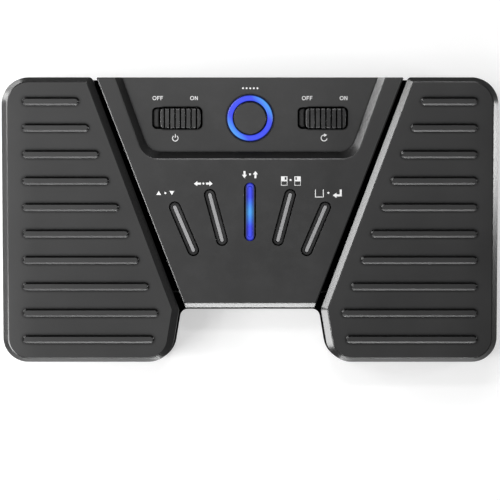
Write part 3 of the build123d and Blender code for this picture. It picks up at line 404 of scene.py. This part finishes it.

# In the moulded looks, nook, hollow and lip set where and how strongly shade is painted, and lip also turns
# on a painted highlight
LOOKS = {
    "pedal_plastic": (moulded, dict(
        dark=(0.007, 0.007, 0.0072), light=(0.010, 0.010, 0.0102), rough=(0.42, 0.5),
        grain_depth=FINE_GRAIN, wear=0.3, specular=0.8, crown=True,
        nook=0.0016, hollow=0.97, lip=0.05, polish=0.24,
    )),
    "cover_plastic": (moulded, dict(
        dark=(0.008, 0.008, 0.0082), light=(0.011, 0.011, 0.0112), rough=(0.4, 0.48),
        grain_depth=FINE_GRAIN, wear=0.25, specular=0.8, nook=0.0012, polish=0.24,
    )),
    "base_plastic": (moulded, dict(
        dark=(0.006, 0.006, 0.0061), light=(0.009, 0.009, 0.0091), rough=(0.45, 0.6),
        specular=0.3, nook=0.006,
    )),
    "knob_plastic": (moulded, dict(
        dark=(0.018, 0.018, 0.0183), light=(0.022, 0.022, 0.0224), rough=(0.2, 0.28),
        specular=0.8, nook=0.0014, hollow=0.6,
    )),
    "cap_plastic": (moulded, dict(
        dark=(0.03, 0.03, 0.0304), light=(0.036, 0.036, 0.0365), rough=(0.28, 0.36),
        wear=0.15,
    )),
    "carrier_plastic": (moulded, dict(
        dark=(0.016, 0.016, 0.0163), light=(0.022, 0.022, 0.0224), rough=(0.3, 0.4),
    )),
    "switch_plastic": (moulded, dict(
        dark=(0.015, 0.015, 0.015), light=(0.02, 0.02, 0.02), rough=(0.25, 0.35),
    )),
    "diffuser": (glowing, dict(base=(0.33, 0.33, 0.335))),
    "ring_diffuser": (glowing, dict(base=BLUE_MOULDING, glow=ring_glow, strength=GLOW_STRENGTH)),
    "circuit_board": (circuit, dict()),
    "silicone": (rubber, dict(
        dark=(0.4, 0.4, 0.41), light=(0.55, 0.55, 0.56), rough=(0.35, 0.5), scatter=0.3,
    )),
    "foot_rubber": (rubber, dict(dark=(0.018, 0.018, 0.018), light=(0.035, 0.035, 0.035))),
    "lead_sleeve": (rubber, dict(
        dark=(0.008, 0.008, 0.008), light=(0.014, 0.014, 0.014), rough=(0.3, 0.4),
    )),
    "foam": (rubber, dict(dark=(0.05, 0.05, 0.05), light=(0.09, 0.09, 0.09), rough=(0.8, 0.95))),
    "cell_wrap": (metal, dict(colour=(0.7, 0.71, 0.73), rough=(0.3, 0.45), grain=300.0)),
    "emitter": (glowing, dict(base=(0.8, 0.75, 0.45))),
    "shield": (metal, dict(colour=(0.62, 0.62, 0.61))),
    "pin_steel": (metal, dict(colour=(0.6, 0.6, 0.61), rough=(0.2, 0.3))),
    "screw_steel": (metal, dict(colour=(0.4, 0.4, 0.41), rough=(0.3, 0.45))),
    "socket_steel": (metal, dict(colour=(0.66, 0.66, 0.67), rough=(0.2, 0.32))),
}
FINISHES = {slot: make(slot, **look) for slot, (make, look) in LOOKS.items()}
LIT_BAR = glowing("lit_bar", BLUE_MOULDING, bar_glow, GLOW_STRENGTH)
lit_by_bar(FINISHES["carrier_plastic"], strength=0.75)
INK = printed("print_ink")


# Finish and shading of every solid piece

def smoothing_group(weld=2e-6, smooth_below=math.radians(11.5)):
    """Joins corners that coincide, and shades faces smooth where they meet at less than an angle."""
    group = bpy.data.node_groups.new("smooth_by_angle", "GeometryNodeTree")
    for way in ("INPUT", "OUTPUT"):
        group.interface.new_socket("Geometry", in_out=way, socket_type="NodeSocketGeometry")
    start = group.nodes.new("NodeGroupInput")
    end = group.nodes.new("NodeGroupOutput")
    merge = group.nodes.new("GeometryNodeMergeByDistance")
    merge.inputs["Distance"].default_value = weld
    angle = group.nodes.new("GeometryNodeInputMeshEdgeAngle")
    under = group.nodes.new("FunctionNodeCompare")
    under.data_type = "FLOAT"
    under.operation = "LESS_EQUAL"
    under.inputs["B"].default_value = smooth_below
    faces = group.nodes.new("GeometryNodeSetShadeSmooth")
    faces.domain = "FACE"
    edges = group.nodes.new("GeometryNodeSetShadeSmooth")
    edges.domain = "EDGE"
    link = group.links.new
    link(start.outputs[0], merge.inputs["Geometry"])
    link(merge.outputs["Geometry"], faces.inputs["Geometry"])
    link(faces.outputs["Geometry"], edges.inputs["Geometry"])
    link(angle.outputs["Unsigned Angle"], under.inputs["A"])
    link(under.outputs["Result"], edges.inputs["Shade Smooth"])
    link(edges.outputs["Geometry"], end.inputs[0])
    return group


SMOOTH = smoothing_group()
slots = {s["node"]: s["material_slot"] for s in frame["record"]["subparts"]}
for name, obj in frame["nodes"].items():
    finish = LIT_BAR if name == LIT_PIECE else FINISHES[slots[name]]
    obj.data.materials.clear()
    obj.data.materials.append(finish)
    modifier = obj.modifiers.new("smooth_by_angle", "NODES")
    modifier.node_group = SMOOTH
    weighted = obj.modifiers.new("flat_faces_first", "WEIGHTED_NORMAL")
    weighted.keep_sharp = True


# Print on the panel and the cover, in millimetres

FILM_THICK = 0.03
FILM_SINK = 0.02
DOT = 0.46
LINE = 0.34
ARROW_SHAFT = 0.9
ARROW_HEAD = 1.5
ARROW_HALF = 1.15


def surface(y, drop):
    """Height of the plane that lies a depth under the pedal tops."""
    return MIDDLE + y * SLOPE - drop / math.cos(LEAN)


class Print:
    """Flat shapes, drawn from above and laid on a plane of the object as a thin film of ink."""

    def __init__(self, drop):
        self.bm = bmesh.new()
        self.drop = drop

    def face(self, points):
        """Filled outline."""
        self.bm.faces.new([self.bm.verts.new((x, y, 0.0)) for x, y in points])

    def box(self, left, front, right, back):
        """Filled rectangle."""
        self.face([(left, front), (right, front), (right, back), (left, back)])

    def bar(self, start, end, thick):
        """Line with square ends."""
        (ax, ay), (bx, by) = start, end
        length = math.hypot(bx - ax, by - ay)
        nx = -(by - ay) / length * thick / 2
        ny = (bx - ax) / length * thick / 2
        self.face([(ax - nx, ay - ny), (bx - nx, by - ny), (bx + nx, by + ny), (ax + nx, ay + ny)])

    def disc(self, x, y, radius, steps=28):
        """Filled circle."""
        turn = math.tau / steps
        self.face([(x + radius * math.cos(k * turn), y + radius * math.sin(k * turn)) for k in range(steps)])

    def arc(self, x, y, rx, ry, thick, start=0.0, end=360.0, steps=40):
        """Line round an ellipse, from one angle to another in degrees."""
        closed = end - start >= 360.0
        count = steps if closed else steps + 1
        inner, outer = [], []
        for k in range(count):
            t = math.radians(start + (end - start) * k / steps)
            for ring, off in ((inner, -thick / 2), (outer, thick / 2)):
                spot = (x + (rx + off) * math.cos(t), y + (ry + off) * math.sin(t), 0.0)
                ring.append(self.bm.verts.new(spot))
        for k in range(steps):
            j = (k + 1) % count
            self.bm.faces.new([inner[k], outer[k], outer[j], inner[j]])

    def triangle(self, x, base, tip, half):
        """Filled triangle round x, from the y of its base to the y of its tip."""
        self.face([(x - half, base), (x + half, base), (x, tip)])

    def arrow(self, tail, tip, head=ARROW_HEAD):
        """Short thick arrow."""
        (ax, ay), (bx, by) = tail, tip
        length = math.hypot(bx - ax, by - ay)
        dx, dy = (bx - ax) / length, (by - ay) / length
        neck_x, neck_y = bx - dx * head, by - dy * head
        side_x, side_y = dy * ARROW_HALF, -dx * ARROW_HALF
        self.bar(tail, (neck_x, neck_y), ARROW_SHAFT)
        self.face([(neck_x + side_x, neck_y + side_y), tip, (neck_x - side_x, neck_y - side_y)])

    def cup(self, left, right, back, front, thick):
        """Line down a left side, along the front and up a right side."""
        middle = front + thick / 2
        self.bar((left, back), (left, front), thick)
        self.bar((left + thick / 2, middle), (right - thick / 2, middle), thick)
        self.bar((right, back), (right, front), thick)

    def finish(self, name, body):
        """Turns the shapes into one film that rides on a body."""
        for f in self.bm.faces:
            f.normal_update()
            if f.normal.z < 0:
                f.normal_flip()
        made = bmesh.ops.extrude_face_region(self.bm, geom=list(self.bm.faces))
        for v in [g for g in made["geom"] if isinstance(g, bmesh.types.BMVert)]:
            v.co.z = FILM_THICK + FILM_SINK
        for v in self.bm.verts:
            v.co.z += surface(v.co.y, self.drop) - FILM_SINK
            v.co *= MM
        bmesh.ops.recalc_face_normals(self.bm, faces=list(self.bm.faces))
        mesh = bpy.data.meshes.new(name)
        self.bm.to_mesh(mesh)
        self.bm.free()
        obj = bpy.data.objects.new(name, mesh)
        scene.collection.objects.link(obj)
        mesh.materials.append(INK)
        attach(obj, body)
        return obj


LETTER_HEIGHT = 1.8
LETTER_LINE = 0.27
LETTER_GAP = 0.32


def letter_f(art, x, y, wide):
    """Stem, upper arm and shorter middle arm."""
    top, bottom = y + LETTER_HEIGHT / 2, y - LETTER_HEIGHT / 2
    middle = y + 0.02 * LETTER_HEIGHT
    arm = x + LETTER_LINE
    art.bar((x + LETTER_LINE / 2, bottom), (x + LETTER_LINE / 2, top), LETTER_LINE)
    art.bar((arm, top - LETTER_LINE / 2), (x + wide, top - LETTER_LINE / 2), LETTER_LINE)
    art.bar((arm, middle), (x + wide * 0.92, middle), LETTER_LINE)


def letter_n(art, x, y, wide):
    """Two stems and a slanted stroke between them."""
    top, bottom = y + LETTER_HEIGHT / 2, y - LETTER_HEIGHT / 2
    left, right = x + LETTER_LINE, x + wide - LETTER_LINE
    slant = 1.75 * LETTER_LINE
    for stem in (x + LETTER_LINE / 2, x + wide - LETTER_LINE / 2):
        art.bar((stem, bottom), (stem, top), LETTER_LINE)
    art.face([(left, top), (left, top - slant), (right, bottom), (right, bottom + slant)])


def letter_o(art, x, y, wide):
    """Closed oval."""
    rx, ry = (wide - LETTER_LINE) / 2, (LETTER_HEIGHT - LETTER_LINE) / 2
    art.arc(x + wide / 2, y, rx, ry, LETTER_LINE)


# How each letter is drawn, and its width as a share of the height
LETTERS = {"F": (letter_f, 0.62), "N": (letter_n, 0.74), "O": (letter_o, 0.98)}


def word(art, letters, x, y):
    """A short word round a middle."""
    drawn = [(LETTERS[letter][0], LETTERS[letter][1] * LETTER_HEIGHT) for letter in letters]
    total = sum(wide for draw, wide in drawn) + LETTER_GAP * (len(drawn) - 1)
    at = x - total / 2
    for draw, wide in drawn:
        draw(art, at, y, wide)
        at += wide + LETTER_GAP


def power_symbol(art, x, y, radius=1.25, drop=0.1, stroke=1.75):
    """Ring, open at the back, with a stroke in its gap."""
    art.arc(x, y - drop, radius, radius, LINE, start=125.0, end=415.0)
    art.bar((x, y + drop), (x, y + stroke), LINE)


def loop_symbol(art, x, y, radius=1.3, half=0.75):
    """Open ring that ends in an arrow head."""
    left, right, middle = x + 0.05, x + 1.3, y + radius
    art.arc(x, y, radius, radius, LINE, start=75.0, end=350.0)
    art.face([(left, middle + half), (left, middle - half), (right, middle)])


def five_dots(art, x, y, pitch=1.6, radius=0.42):
    """Row of dots, one for each mode light."""
    for k in range(5):
        art.disc((k - 2) * pitch + x, y, radius)


def triangles(art, x, y, apart=2.9, half=1.1):
    """A triangle to the back, a dot and a triangle to the front."""
    front, back = y - 0.85, y + 0.95
    art.triangle(x - apart, front, back, half)
    art.disc(x, y, DOT)
    art.triangle(x + apart, back, front, half)


def arrows_across(art, x, y, reach=4.15):
    """An arrow to the left, a dot and an arrow to the right."""
    art.arrow((x - 1.05, y), (x - reach, y))
    art.disc(x, y, DOT)
    art.arrow((x + 1.1, y), (x + reach, y))


def arrows_along(art, x, y):
    """An arrow to the front, a dot and an arrow to the back."""
    front, back = y - 1.7, y + 1.45
    art.arrow((x - 2.45, back), (x - 2.45, front))
    art.disc(x, y, DOT)
    art.arrow((x + 2.4, front), (x + 2.4, back))


def mouse(art, x, y, left, right):
    """A mouse: a solid upper half from y on, with a window from left to right, and an open lower half."""
    half, back = 1.4, y + 2.2
    window_front, window_back = y + 0.7, y + 1.85
    outline = 0.22
    side = half - outline / 2
    art.box(x - half, y, x + left, back)
    art.box(x + right, y, x + half, back)
    art.box(x + left, window_back, x + right, back)
    art.box(x + left, y, x + right, window_front)
    art.cup(x - side, x + side, y, y - 1.85, outline)


def mouse_buttons(art, x, y):
    """Two mice with a dot between them, the window on the inner side of each."""
    seam = y - 0.6
    mouse(art, x - 2.8, seam, left=0.2, right=1.0)
    mouse(art, x + 3.1, seam, left=-0.95, right=-0.3)
    art.disc(x, y, DOT)


def space_and_return(art, x, y):
    """An open box, a dot and a bent arrow to the left."""
    back, shaft_x, shaft_y = y + 1.5, x + 5.45, y - 1.1
    half = ARROW_SHAFT / 2
    art.cup(x - 5.75, x - 2.25, back, y - 2.0, LINE)
    art.disc(x, y, DOT)
    art.bar((shaft_x, back), (shaft_x, shaft_y - half), ARROW_SHAFT)
    art.arrow((shaft_x - half, shaft_y), (x + 1.9, shaft_y), head=1.7)


# Words behind the slots, symbols in front of them, and dots behind the mode button
WORD_Y = 53.85
OFF_MIDDLES = (-40.84, 25.3)
ON_MIDDLES = (-24.8, 41.4)
SYMBOL_Y = 36.2
POWER_X, LOOP_X = -33.1, 32.8
DOTS_MIDDLE = (0.1, 58.2)

# Each pictogram over its light bar, with the place of its dot
PICTOGRAMS = (
    (triangles, -37.5, 11.8),
    (arrows_across, -20.65, 16.0),
    (arrows_along, 0.0, 20.1),
    (mouse_buttons, 17.95, 17.6),
    (space_and_return, 34.7, 11.9),
)

panel_art = Print(PANEL_DROP)
for x in OFF_MIDDLES:
    word(panel_art, "OFF", x, WORD_Y)
for x in ON_MIDDLES:
    word(panel_art, "ON", x, WORD_Y)
five_dots(panel_art, *DOTS_MIDDLE)
power_symbol(panel_art, POWER_X, SYMBOL_Y)
loop_symbol(panel_art, LOOP_X, SYMBOL_Y)
panel_art.finish("panel_print", "base")

cover_art = Print(COVER_DROP)
for draw, x, y in PICTOGRAMS:
    draw(cover_art, x, y)
cover_art.finish("cover_print", "base")


# Silicone dome strips under the pedals, in millimetres

STRIP_BOTTOM = 7.6
STRIP_THICK = 1.0
STRIP_X, STRIP_Y = 72.0, -38.0
STRIP_HALF_X, STRIP_HALF_Y = 23.0, 6.5
STRIP_CORNER = 1.5
DOME_SPREAD = 16.0

# Half section of a dome: radius, and height over the strip
DOME_PROFILE = [
    # underside, from its ceiling to the foot
    (0.0, 3.1), (2.1, 3.1), (4.9, 0.15),
    # foot, sunk into the strip
    (5.1, -0.2), (5.6, -0.3), (6.0, 0.0), (5.95, 0.35),
    # thin sloped wall
    (5.5, 1.0), (3.45, 3.6), (3.0, 4.3),
    # boss with an eased edge
    (3.0, 5.6), (2.85, 5.9), (2.5, 6.0), (0.0, 6.0),
]


def lathe(bm, x, y, z, profile, steps=48):
    """Closed turned form from (radius, height) pairs, the first and last on the axis."""
    rings = []
    for radius, height in profile:
        level = (z + height) * MM
        turns = [math.tau * k / steps for k in range(steps)] if radius else [0.0]
        rings.append([
            bm.verts.new(((x + radius * math.cos(t)) * MM, (y + radius * math.sin(t)) * MM, level))
            for t in turns
        ])
    for low, high in zip(rings, rings[1:]):
        for k in range(steps):
            j = (k + 1) % steps
            corners = []
            for v in (low[k % len(low)], low[j % len(low)], high[j % len(high)], high[k % len(high)]):
                if v not in corners:
                    corners.append(v)
            bm.faces.new(corners)


def pad(bm, cx, cy, bottom, top, half_x, half_y, radius, ease=0.25, steps=8):
    """Closed sheet with rounded corners and eased top and bottom edges."""
    rings = []
    for inset, z in ((ease, bottom), (0.0, bottom + ease), (0.0, top - ease), (ease, top)):
        ring = []
        for sx, sy, start in ((1, -1, -90.0), (1, 1, 0.0), (-1, 1, 90.0), (-1, -1, 180.0)):
            for k in range(steps + 1):
                t = math.radians(start + 90.0 * k / steps)
                x = cx + sx * (half_x - radius) + (radius - inset) * math.cos(t)
                y = cy + sy * (half_y - radius) + (radius - inset) * math.sin(t)
                ring.append(bm.verts.new((x * MM, y * MM, z * MM)))
        rings.append(ring)
    for low, high in zip(rings, rings[1:]):
        for k in range(len(low)):
            j = (k + 1) % len(low)
            bm.faces.new([low[k], low[j], high[j], high[k]])
    bm.faces.new(rings[0][::-1])
    bm.faces.new(rings[-1])


def mesh_piece(name, bm, material, body):
    """Smooth piece that rides on a body."""
    mesh = bpy.data.meshes.new(name)
    bmesh.ops.recalc_face_normals(bm, faces=list(bm.faces))
    bm.to_mesh(mesh)
    bm.free()
    mesh.polygons.foreach_set("use_smooth", [True] * len(mesh.polygons))
    obj = bpy.data.objects.new(name, mesh)
    scene.collection.objects.link(obj)
    mesh.materials.append(material)
    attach(obj, body)
    return obj


for side, hand in (("left", 1), ("right", -1)):
    bm = bmesh.new()
    strip_top = STRIP_BOTTOM + STRIP_THICK
    pad(bm, -STRIP_X * hand, STRIP_Y, STRIP_BOTTOM, strip_top, STRIP_HALF_X, STRIP_HALF_Y, STRIP_CORNER)
    for dome_x in (-STRIP_X - DOME_SPREAD, -STRIP_X + DOME_SPREAD):
        lathe(bm, dome_x * hand, STRIP_Y, strip_top, DOME_PROFILE)
    strip = mesh_piece(f"{side}_silicone_domes", bm, FINISHES["silicone"], "base")
    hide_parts(f"{side}_dome_strip")
    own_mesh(strip)


# Floor

def shown_rays(tree):
    """One where the camera, a mirror or a clear piece looks, and nothing where only light is gathered."""
    rays = node(tree, "ShaderNodeLightPath").outputs
    seen = maths(tree, "MAXIMUM", rays["Is Camera Ray"], rays["Is Glossy Ray"])
    return maths(tree, "MAXIMUM", seen, rays["Is Transmission Ray"])


def floor_material():
    """White paper that is lifted a little where it is looked at, more so far out."""
    mat = bpy.data.materials.new("floor_paper")
    mat.use_nodes = True
    tree = mat.node_tree
    tree.nodes.clear()
    out = tree.nodes.new("ShaderNodeOutputMaterial")
    paper = node(tree, "ShaderNodeBsdfDiffuse", {"Color": (*scaled(WHITE, 0.74), 1.0)})
    far = vector_maths(tree, "LENGTH", place(tree))["Value"]
    near_to_far, lift_there = (0.25, 1.3), (0.4, 0.9)
    lift = maths(tree, "MULTIPLY", shown_rays(tree), ranged(tree, far, near_to_far, lift_there))
    glow = node(tree, "ShaderNodeEmission", {"Color": (*WHITE, 1.0), "Strength": lift})
    both = node(tree, "ShaderNodeAddShader", {0: paper.outputs[0], 1: glow.outputs[0]})
    tree.links.new(both.outputs[0], out.inputs["Surface"])
    return mat


def floor_sheet(reach=4.0):
    """Square floor that reaches a distance in metres each way."""
    bm = bmesh.new()
    for x, y in ((-reach, -reach), (reach, -reach), (reach, reach), (-reach, reach)):
        bm.verts.new((x, y, 0.0))
    bm.faces.new(list(bm.verts))
    mesh = bpy.data.meshes.new("floor")
    bm.to_mesh(mesh)
    bm.free()
    obj = bpy.data.objects.new("floor", mesh)
    scene.collection.objects.link(obj)
    mesh.materials.append(floor_material())
    return obj


floor = floor_sheet()


# Light, in metres and watts

MIDDLE_HEIGHT = 0.02


def lamp(name, at, aim, size, watts):
    """Soft box at a place that faces an aim point."""
    data = bpy.data.lights.new(name, "AREA")
    data.shape = "RECTANGLE"
    data.size, data.size_y = size
    data.energy = watts
    obj = bpy.data.objects.new(name, data)
    scene.collection.objects.link(obj)
    obj.location = at
    obj.rotation_mode = "QUATERNION"
    obj.rotation_quaternion = (Vector(aim) - Vector(at)).to_track_quat("-Z", "Y")


def strip_lamp(name, azimuth, elevation, distance, size, watts):
    """Soft box that faces the middle from an azimuth (0 right, 90 back) and an elevation, in degrees."""
    turn, tilt = math.radians(azimuth), math.radians(elevation)
    out = distance * math.cos(tilt)
    at = (out * math.cos(turn), out * math.sin(turn), MIDDLE_HEIGHT + distance * math.sin(tilt))
    lamp(name, at, (0.0, 0.0, MIDDLE_HEIGHT), size, watts)


def studio_world(strength):
    """Even white surroundings."""
    world = bpy.data.worlds.new("studio")
    scene.world = world
    world.use_nodes = True
    tree = world.node_tree
    tree.nodes.clear()
    out = tree.nodes.new("ShaderNodeOutputWorld")
    background = node(tree, "ShaderNodeBackground", {"Color": (*WHITE, 1.0), "Strength": strength})
    tree.links.new(background.outputs[0], out.inputs["Surface"])


# Even light on the tops
strip_lamp("key_box", azimuth=75.0, elevation=45.0, distance=0.6, size=(0.25, 0.1), watts=0.6)
lamp("top_box", at=(-0.15, 0.01, 0.5), aim=(-0.05, 0.0, 0.026), size=(0.34, 0.32), watts=0.19)

# Low light from the left, on walls and bevels that face it
strip_lamp("left_low", azimuth=182.5, elevation=9.7, distance=0.6, size=(0.28, 0.07), watts=0.18)
strip_lamp("wall_low", azimuth=163.0, elevation=5.0, distance=0.6, size=(0.14, 0.05), watts=0.42)

# Bevels of the right pedal: inner side, clipped front corner, outer side
lamp("inner_edge", at=(-0.335, 0.106, 0.229), aim=(0.036, 0.01, 0.025), size=(0.17, 0.065), watts=0.56)
lamp("toe_edge", at=(-0.292, -0.162, 0.18), aim=(0.034, -0.05, 0.025), size=(0.18, 0.09), watts=0.66)
lamp("outer_edge", at=(0.381, 0.019, 0.079), aim=(0.107, 0.035, 0.025), size=(0.065, 0.05), watts=0.26)

# Low light from the front
strip_lamp("front_low", azimuth=270.0, elevation=7.0, distance=0.8, size=(0.22, 0.07), watts=1.2)
strip_lamp("front_wide", azimuth=270.0, elevation=3.5, distance=0.8, size=(0.7, 0.05), watts=2.0)

# Light lines: bevels of the left pedal, the cover and the front, back left corners, rim of the panel
lamp("pedal_line", at=(-0.5, -0.071, 0.533), aim=(-0.107, 0.0, 0.026), size=(0.2, 0.04), watts=0.55)
lamp("cover_line", at=(-0.393, -0.177, 0.545), aim=(-0.048, 0.013, 0.026), size=(0.15, 0.04), watts=0.4)
lamp("front_line", at=(0.0, -0.506, 0.488), aim=(0.0, -0.061, 0.022), size=(0.4, 0.04), watts=0.4)
strip_lamp("corner_line", azimuth=140.0, elevation=11.0, distance=0.6, size=(0.4, 0.06), watts=1.2)
lamp("back_line", at=(0.0, 0.151, 0.407), aim=(0.0, 0.027, 0.027), size=(0.1, 0.035), watts=0.22)

studio_world(strength=0.16)
scene.view_settings.view_transform = "Standard"


# Camera, straight above

LENS = 400.0
SENSOR = 36.0
VIEW_WIDTH = 0.22133
VIEW_Y = -0.01339

camera_data = bpy.data.cameras.new("camera")
camera_data.lens = LENS
camera_data.sensor_width = SENSOR
camera_data.clip_end = 50.0
camera = bpy.data.objects.new("camera", camera_data)
scene.collection.objects.link(camera)
camera.location = (0.0, VIEW_Y, MIDDLE * MM + VIEW_WIDTH * LENS / SENSOR)
scene.camera = camera
